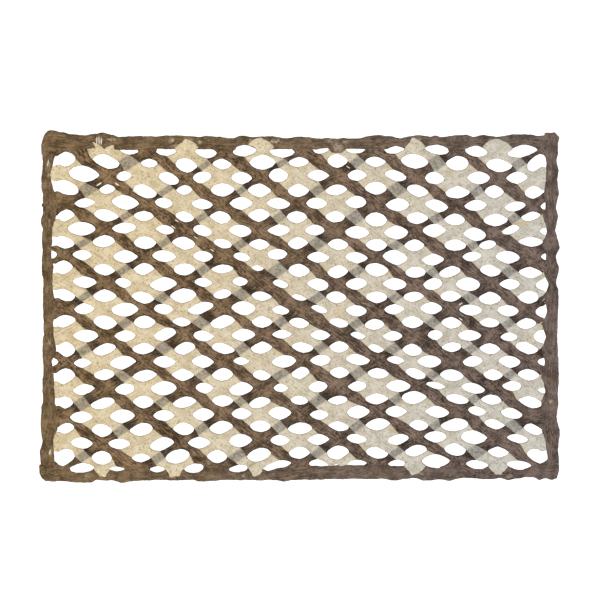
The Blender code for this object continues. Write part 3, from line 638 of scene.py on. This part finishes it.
# Columns across a border strip, from its inner edge at -1 to its outer edge at 1, and its section over them.
BORDER_COLUMNS = np.array([-1, -0.96, -0.88, -0.76, -0.6, -0.4, -0.2, 0, 0.2, 0.4, 0.6, 0.76, 0.88, 0.96, 1])
BORDER_SECTION = np.where(
    BORDER_COLUMNS < 0, 1 - np.abs(BORDER_COLUMNS) ** 5, np.sqrt(1 - BORDER_COLUMNS**6)
)
# The length between two stations along a border strip.
BORDER_STEP = 1.35


def through(points, at):
    """A soft line through a table's points."""
    knots = np.array(points, float)
    index = np.clip(np.searchsorted(knots[:, 0], at) - 1, 0, len(knots) - 2)
    (start, low), (end, high) = knots[index].T, knots[index + 1].T
    share = np.clip((at - start) / (end - start), 0, 1)
    share = (share + smooth(share, 0, 1)) / 2
    return low + (high - low) * share


# Rim gaps whose whole form shows, so that the border's inner edge gives way to them, by column and row.
WHOLE_RIM_GAPS = [(column, 12) for column in (-5, -3, 5, 7, 9, 11)]
WHOLE_RIM_GAPS += [(column, -12) for column in (-11, -9, -7, -5, -3, 7, 9, 11)]


def round_gaps(along, line, top):
    """The inner edge of the top or bottom border strip, led round the whole rim gaps beside it."""
    side = 1 if top else -1
    for form in GAP_FORMS:
        if (form.column, form.row) not in WHOLE_RIM_GAPS or (form.row > 0) != top:
            continue
        off = (along - form.x) / (form.wide / 2)
        arc = (1 - np.clip(np.abs(off), 0, 1) ** BOW) ** (1 / BOW) * form.high / 2
        edge = form.y + side * arc - form.lean * (along - form.x) * STEP_Y / STEP_X
        line = np.where(np.abs(off) < 1, side * np.maximum(side * line, side * edge + 0.4), line)
    return line


# Spots on the border where cream fibres cling: middle and size in millimetres. Below them, how much of the
# brown bark they hide at most.
Remnant = namedtuple("Remnant", "x y wide high")
REMNANTS = [
    (-225, 186, 12, 11), (-212, 187, 14, 6), (-144, 186, 10, 7), (-139, 180, 8, 6), (-124, 187, 14, 6),
    (-112, 184, 8, 7), (-52, 184, 16, 9), (-28, 185, 14, 7), (33, 185, 9, 5), (42, 178.5, 17, 13),
    (50, 184, 8, 5), (130, 186, 14, 8), (215, 186, 12, 5), (230, 183, 10, 6), (-236, -189, 12, 6),
    (-142, -190, 12, 6), (-62, -190, 10, 5), (133, -187, 14, 5), (234, -190, 10, 5), (-282, 159, 6, 10),
    (-280, -163, 6, 9), (-281, -40, 5, 6), (-281, 147, 5, 7), (-280, 95, 4, 7), (281, -106, 7, 9),
    (280, 150, 5, 8),
]
REMNANTS = [Remnant(*row) for row in REMNANTS]
MOST_HIDDEN = 0.88


def clinging(x, y):
    """How much cream fibre clings to the border here, as a share of the bark that it hides."""
    share = np.zeros(np.shape(x))
    for spot in REMNANTS:
        away = np.hypot((x - spot.x) / spot.wide * 2, (y - spot.y) / spot.high * 2)
        share = np.maximum(share, 1 - smooth(away, 0.5, 1.15))
    return share * MOST_HIDDEN


def add_border(name, outer, inner, across_x, seed, material):
    """Builds one border strip between its edges, thinner at its ends and raised over the strips' ends."""
    first, last = outer[0][0], outer[-1][0]
    along = np.linspace(first, last, int((last - first) / BORDER_STEP))
    edges = []
    for k, points in enumerate((inner, outer)):
        line = through(points, along)
        if points is inner and not across_x:
            line = round_gaps(along, line, inner is TOP_INNER)
        line = line + 0.45 * noise_line(along, seed + 10 * k, 6)
        line = line + 0.22 * noise_line(along, seed + 10 * k + 1, 2.2)
        edges.append(line)
    inside, outside = edges
    width = np.abs(outside - inside)[:, None]
    across = (inside + outside)[:, None] / 2 + (outside - inside)[:, None] / 2 * BORDER_COLUMNS
    to_end = np.minimum(along - first, last - along)
    pinch = 0.7 * noise_line(across[0], seed + 30, 4)
    stations = along[:, None] + pinch * (1 - smooth(to_end, 0, 5))[:, None]
    across_mm = BORDER_COLUMNS * width / 2
    stations = np.broadcast_to(stations, across.shape)
    raised = smooth(-BORDER_COLUMNS, -0.35, 0.3)
    ends = noise_field(stations / 22, across_mm / 9, seed + 40, 1.0)
    low = 0.12 + 0.42 * raised + 0.12 * ends
    ridge = 0.16 * noise_field(stations / 26, across_mm / 1.9, seed + 50, 1.0)
    ridge = ridge + 0.09 * noise_field(stations / 6, across_mm / 1.2, seed + 60, 1.0)
    thick = (0.4 + 0.45 * smooth(to_end, 0, 5))[:, None]
    top = low + BORDER_SECTION * (thick + ridge * BORDER_SECTION)
    bottom = low[:, BORDER_COLUMNS.size // 2] - 0.05
    sheets = Sheets()
    x, y = (across, stations) if across_x else (stations, across)
    from_outside = (1 - BORDER_COLUMNS) * width / 2
    from_inside = (1 + BORDER_COLUMNS) * width / 2
    at_gap = np.maximum(GAPS.distance(*locate(x, y)), from_inside)
    rim = np.minimum(at_gap, from_outside * 1.6 + 0.25)
    sheets.ribbon(x, y, top, bottom, stations + seed * 9, across_mm, rim, clinging(x, y))
    return sheets.build(name, material)


class Graph:
    """A material's node tree, with short ways to add its nodes."""

    def __init__(self, name):
        self.material = bpy.data.materials.new(name)
        self.material.use_nodes = True
        self.nodes, self.links = self.material.node_tree.nodes, self.material.node_tree.links
        self.shader = self.nodes["Principled BSDF"]

    def add(self, kind, values=(), **settings):
        node = self.nodes.new(kind)
        for name, value in settings.items():
            setattr(node, name, value)
        for socket, value in values:
            self.give(node.inputs[socket], value)
        return node

    def give(self, socket, value):
        if isinstance(value, bpy.types.NodeSocket):
            self.links.new(value, socket)
        else:
            socket.default_value = value

    def maths(self, operation, first, second=0.0, third=0.0):
        values = [(0, first), (1, second), (2, third)]
        return self.add("ShaderNodeMath", values, operation=operation).outputs[0]

    def scaled(self, vector, scale):
        return self.add("ShaderNodeMapping", [("Vector", vector), ("Scale", scale)]).outputs[0]

    def noise(self, vector, scale, detail=2.0, roughness=0.5):
        values = [("Vector", vector), ("Scale", scale), ("Detail", detail), ("Roughness", roughness)]
        return self.add("ShaderNodeTexNoise", values).outputs["Fac"]

    def spread(self, value, low, high, to_low=0.0, to_high=1.0):
        values = [("Value", value), ("From Min", low), ("From Max", high)]
        values += [("To Min", to_low), ("To Max", to_high)]
        return self.add("ShaderNodeMapRange", values, interpolation_type="SMOOTHSTEP").outputs[0]

    def blend(self, factor, first, second):
        first, second = ((*tone, 1.0) if isinstance(tone, tuple) else tone for tone in (first, second))
        return self.add("ShaderNodeMix", [(0, factor), (6, first), (7, second)], data_type="RGBA").outputs[2]

    def mark(self, name):
        return self.add("ShaderNodeAttribute", attribute_name=name).outputs["Fac"]


# A kind of bark's colours: dark and light fibre at the sheet's left and right, stains, frayed rims, the veil
# where cream bark lies thin on brown, at left and right, and the painted shade where a strip tucks under one
# of the other colour. Then how far a rim's colour reaches, and how strongly veins and flecks show.
Bark = namedtuple(
    "Bark",
    "dark_left light_left dark_right light_right stain rim veil_left veil_right tuck rim_reach vein flecks",
)
BROWN_BARK = Bark(
    dark_left=(0.075, 0.041, 0.013),
    light_left=(0.300, 0.190, 0.096),
    dark_right=(0.054, 0.037, 0.029),
    light_right=(0.222, 0.160, 0.130),
    stain=(0.150, 0.092, 0.045),
    rim=(0.014, 0.007, 0.004),
    veil_left=(0.500, 0.400, 0.250),
    veil_right=(0.450, 0.400, 0.320),
    tuck=(0.022, 0.013, 0.007),
    rim_reach=1.7,
    vein=0.85,
    flecks=0.3,
)
CREAM_BARK = Bark(
    dark_left=(0.545, 0.435, 0.255),
    light_left=(0.735, 0.620, 0.410),
    dark_right=(0.440, 0.412, 0.348),
    light_right=(0.605, 0.575, 0.512),
    stain=(0.560, 0.400, 0.190),
    rim=(0.280, 0.190, 0.100),
    veil_left=(0.310, 0.268, 0.200),
    veil_right=(0.300, 0.290, 0.270),
    tuck=(0.560, 0.455, 0.270),
    rim_reach=1.1,
    vein=0.10,
    flecks=0.8,
)
BORDER_BARK = Bark(
    dark_left=(0.092, 0.056, 0.023),
    light_left=(0.238, 0.155, 0.078),
    dark_right=(0.078, 0.056, 0.045),
    light_right=(0.188, 0.139, 0.116),
    stain=(0.150, 0.092, 0.045),
    rim=(0.016, 0.008, 0.004),
    veil_left=(0.520, 0.420, 0.270),
    veil_right=(0.450, 0.400, 0.320),
    tuck=(0.026, 0.015, 0.008),
    rim_reach=1.6,
    vein=0.6,
    flecks=0.3,
)
# Brown bark that shows through the veil, and the pale of a bleached slit.
BROWN_BENEATH = (0.085, 0.068, 0.05)
BLEACHED = (0.85, 0.78, 0.66)


def bark_material(name, bark):
    """Beaten bark: fibres and blotches, and over them stains, creases, flecks, the veil, painted shade where
    a strip tucks under another, frayed rims and bleached slits, each on top of the one before."""
    graph = Graph(name)
    spots = graph.add("ShaderNodeTexCoord").outputs["Object"]
    grain = graph.add("ShaderNodeUVMap", uv_map="bark").outputs[0]
    long_fibres = graph.noise(graph.scaled(grain, (60.0, 520.0, 1.0)), 1.0, 3.0, 0.55)
    fine_fibres = graph.noise(graph.scaled(grain, (190.0, 1100.0, 1.0)), 1.0, 3.0, 0.6)
    creases = graph.noise(graph.scaled(grain, (75.0, 330.0, 1.0)), 1.0, 2.0, 0.5)
    blotches = graph.noise(spots, 75.0, 3.0, 0.6)
    specks = graph.noise(spots, 480.0, 2.0, 0.6)
    x, y = graph.add("ShaderNodeSeparateXYZ", [(0, spots)]).outputs[:2]
    rightward = graph.spread(graph.maths("MULTIPLY_ADD", y, -0.3, x), -0.25, 0.27)
    tone = graph.maths("MULTIPLY_ADD", long_fibres, 0.26, graph.maths("MULTIPLY", fine_fibres, 0.24))
    tone = graph.maths("ADD", tone, graph.maths("MULTIPLY", blotches, 0.32))
    tone = graph.maths("MULTIPLY_ADD", specks, 0.18, tone)
    light = graph.spread(tone, 0.42, 0.58)
    left = graph.blend(light, bark.dark_left, bark.light_left)
    right = graph.blend(light, bark.dark_right, bark.light_right)
    colour = graph.blend(rightward, left, right)
    stained = graph.spread(graph.noise(spots, 34.0, 4.0, 0.65), 0.57, 0.72, 0.0, 0.5)
    colour = graph.blend(stained, colour, bark.stain)
    in_crease = graph.maths("ABSOLUTE", graph.maths("SUBTRACT", creases, 0.5))
    in_crease = graph.spread(in_crease, 0.0, 0.06, bark.vein, 0.0)
    crumpled = graph.spread(graph.noise(spots, 18.0, 2.0, 0.5), 0.4, 0.6, 0.15, 1.0)
    in_crease = graph.maths("MULTIPLY", in_crease, crumpled)
    colour = graph.blend(in_crease, colour, bark.rim)
    flecked = graph.spread(specks, 0.30, 0.42, bark.flecks, 0.0)
    colour = graph.blend(flecked, colour, bark.rim)
    cloudy = graph.maths("MULTIPLY_ADD", graph.maths("ADD", specks, fine_fibres), 1.1, graph.mark("veil"))
    cloudy = graph.spread(cloudy, 1.35, 2.4)
    veil = graph.blend(rightward, bark.veil_left, bark.veil_right)
    beneath = graph.spread(graph.noise(spots, 330.0, 3.0, 0.65), 0.4, 0.6, 0.7, 0.0)
    veil = graph.blend(beneath, veil, BROWN_BENEATH)
    colour = graph.blend(cloudy, colour, veil)
    # Painted shade on the under strips beside the crossings where they tuck under the other colour, broken up
    # by blotches and fibres.
    tuck_shaded = graph.maths("MULTIPLY", graph.mark("tuck"), graph.spread(blotches, 0.35, 0.65, 1.0, 0.7))
    tuck_shaded = graph.maths("MULTIPLY", tuck_shaded, graph.spread(fine_fibres, 0.35, 0.65, 1.0, 0.55))
    colour = graph.blend(tuck_shaded, colour, bark.tuck)
    near_rim = graph.spread(graph.mark("rim"), 0.0, bark.rim_reach, 1.0, 0.0)
    worn = graph.spread(fine_fibres, 0.3, 0.7, 0.5, 1.0)
    colour = graph.blend(graph.maths("MULTIPLY", near_rim, worn), colour, bark.rim)
    # The same mark at -1, given only to the pale slivers, turns them to the bleached pale.
    bleached = graph.maths("MULTIPLY", graph.mark("tuck"), -0.85)
    colour = graph.blend(bleached, colour, BLEACHED)
    graph.links.new(colour, graph.shader.inputs["Base Color"])
    graph.shader.inputs["Roughness"].default_value = 0.88
    graph.shader.inputs["Specular IOR Level"].default_value = 0.25
    height = graph.maths("MULTIPLY_ADD", long_fibres, 0.4, graph.maths("MULTIPLY", creases, 0.6))
    bump = graph.add("ShaderNodeBump", [("Strength", 0.8), ("Distance", 0.0007), ("Height", height)])
    graph.links.new(bump.outputs[0], graph.shader.inputs["Normal"])
    return graph.material


brown_bark = bark_material("brown bark", BROWN_BARK)
cream_bark = bark_material("cream bark", CREAM_BARK)
border_bark = bark_material("border bark", BORDER_BARK)

brown_strips = brown.build("brown_bark_strips", brown_bark)
borders = [
    add_border("top_border_strip", TOP_OUTER, TOP_INNER, False, 11, border_bark),
    add_border("right_border_strip", RIGHT_OUTER, RIGHT_INNER, True, 23, border_bark),
    add_border("bottom_border_strip", BOTTOM_OUTER, BOTTOM_INNER, False, 37, border_bark),
    add_border("left_border_strip", LEFT_OUTER, LEFT_INNER, True, 51, border_bark),
]

# Pale slits and slivers on brown bark: middle and size in millimetres, and lean in degrees.
PalePatch = namedtuple("PalePatch", "x y length width lean")
PALE_PATCHES = [
    (-225, 137, 7, 1.6, 34), (-205, 137, 6, 1.4, -34), (-185, 128.5, 6, 1.4, -34), (-142, 89, 6, 1.3, -34),
    (-138, 96, 5, 1.2, -34), (-116.5, 77, 5, 1.1, -34), (-98.5, 63, 5, 1.1, -34), (54, 156, 5, 1.2, -34),
    (180, 3, 5, 1.2, 34), (180, -14, 5, 1.1, -34), (-227.5, 186, 9, 1.2, 88), (-225, 186, 9, 1.1, 92),
    (-222.5, 185, 8, 1.2, 90), (-282, 161, 8, 1.0, 82), (-280, -163, 6, 1.1, 80),
]
PALE_PATCHES = [PalePatch(*row) for row in PALE_PATCHES]
depsgraph = bpy.context.evaluated_depsgraph_get()
laid = [BVHTree.FromObject(piece, depsgraph) for piece in [brown_strips, *borders]]


def height_at(x, y):
    """The top of the brown bark here, in millimetres."""
    hits = [tree.ray_cast(Vector((x * MM, y * MM, 0.01)), Vector((0, 0, -1)))[0] for tree in laid]
    return max([hit.z / MM for hit in hits if hit is not None], default=0.5)


def add_patch(patch, seed):
    """Adds one pale sliver, laid on the bark beneath it."""
    run, width = np.linspace(-1, 1, 21), np.linspace(-1, 1, 7)
    half = patch.width / 2 * np.sqrt(1.02 - run**2) * (1 + 0.3 * noise_line(run, seed, 0.25))
    across = half[:, None] * width
    along = np.broadcast_to(run[:, None] * patch.length / 2, across.shape)
    lean = np.radians(patch.lean)
    x = patch.x + along * np.cos(lean) - across * np.sin(lean)
    y = patch.y + along * np.sin(lean) + across * np.cos(lean)
    base = np.array([[height_at(*spot) for spot in zip(*row)] for row in zip(x, y)])
    top = base + 0.05 + 0.16 * (1 - width**2)
    bleached = np.full(x.shape, -1.0)
    # The slivers carry -1 in the mark that elsewhere paints shade under crossings, and the material turns
    # that into the bleached pale.
    cream.ribbon(x, y, top, base[:, 3] - 0.1, along + 900 + seed * 30, across, tuck=bleached)


for number, patch in enumerate(PALE_PATCHES):
    add_patch(patch, 400 + number)
cream_strips = cream.build("cream_bark_strips", cream_bark)

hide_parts("brown_lattice")
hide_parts("cream_lattice")
for piece, node in zip(borders, ("border_top", "border_right", "border_bottom", "border_left")):
    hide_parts(node)
for piece in [brown_strips, cream_strips, *borders]:
    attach(piece, "root")

bpy.ops.mesh.primitive_plane_add(size=4.0, location=(0, 0, 0))
floor = bpy.context.object
floor.name = "floor"
floor_graph = Graph("pale floor")
floor_graph.shader.inputs["Base Color"].default_value = (0.9, 0.9, 0.9, 1.0)
floor_graph.shader.inputs["Roughness"].default_value = 0.9
floor_graph.shader.inputs["Emission Color"].default_value = (1.0, 1.0, 1.0, 1.0)
floor_graph.shader.inputs["Emission Strength"].default_value = 0.35
floor.data.materials.append(floor_graph.material)

# An even white studio with one soft lamp, and a camera straight above the sheet.
world = bpy.data.worlds.new("soft studio")
bpy.context.scene.world = world
world.use_nodes = True
world.node_tree.nodes["Background"].inputs[0].default_value = (1.0, 1.0, 1.0, 1.0)
world.node_tree.nodes["Background"].inputs[1].default_value = 0.85
lamp = bpy.data.lights.new("key", "SUN")
lamp.energy = 1.35
lamp.angle = 0.6
key = bpy.data.objects.new("key", lamp)
key.rotation_euler = (0.75, -0.35, 0.35)
bpy.context.scene.collection.objects.link(key)

camera_data = bpy.data.cameras.new("camera")
camera_data.lens = 135
camera_data.sensor_width = 36
camera = bpy.data.objects.new("camera", camera_data)
camera.location = (0, 0.0073, 2.52)
bpy.context.scene.collection.objects.link(camera)
bpy.context.scene.camera = camera
bpy.context.scene.view_settings.view_transform = "Standard"
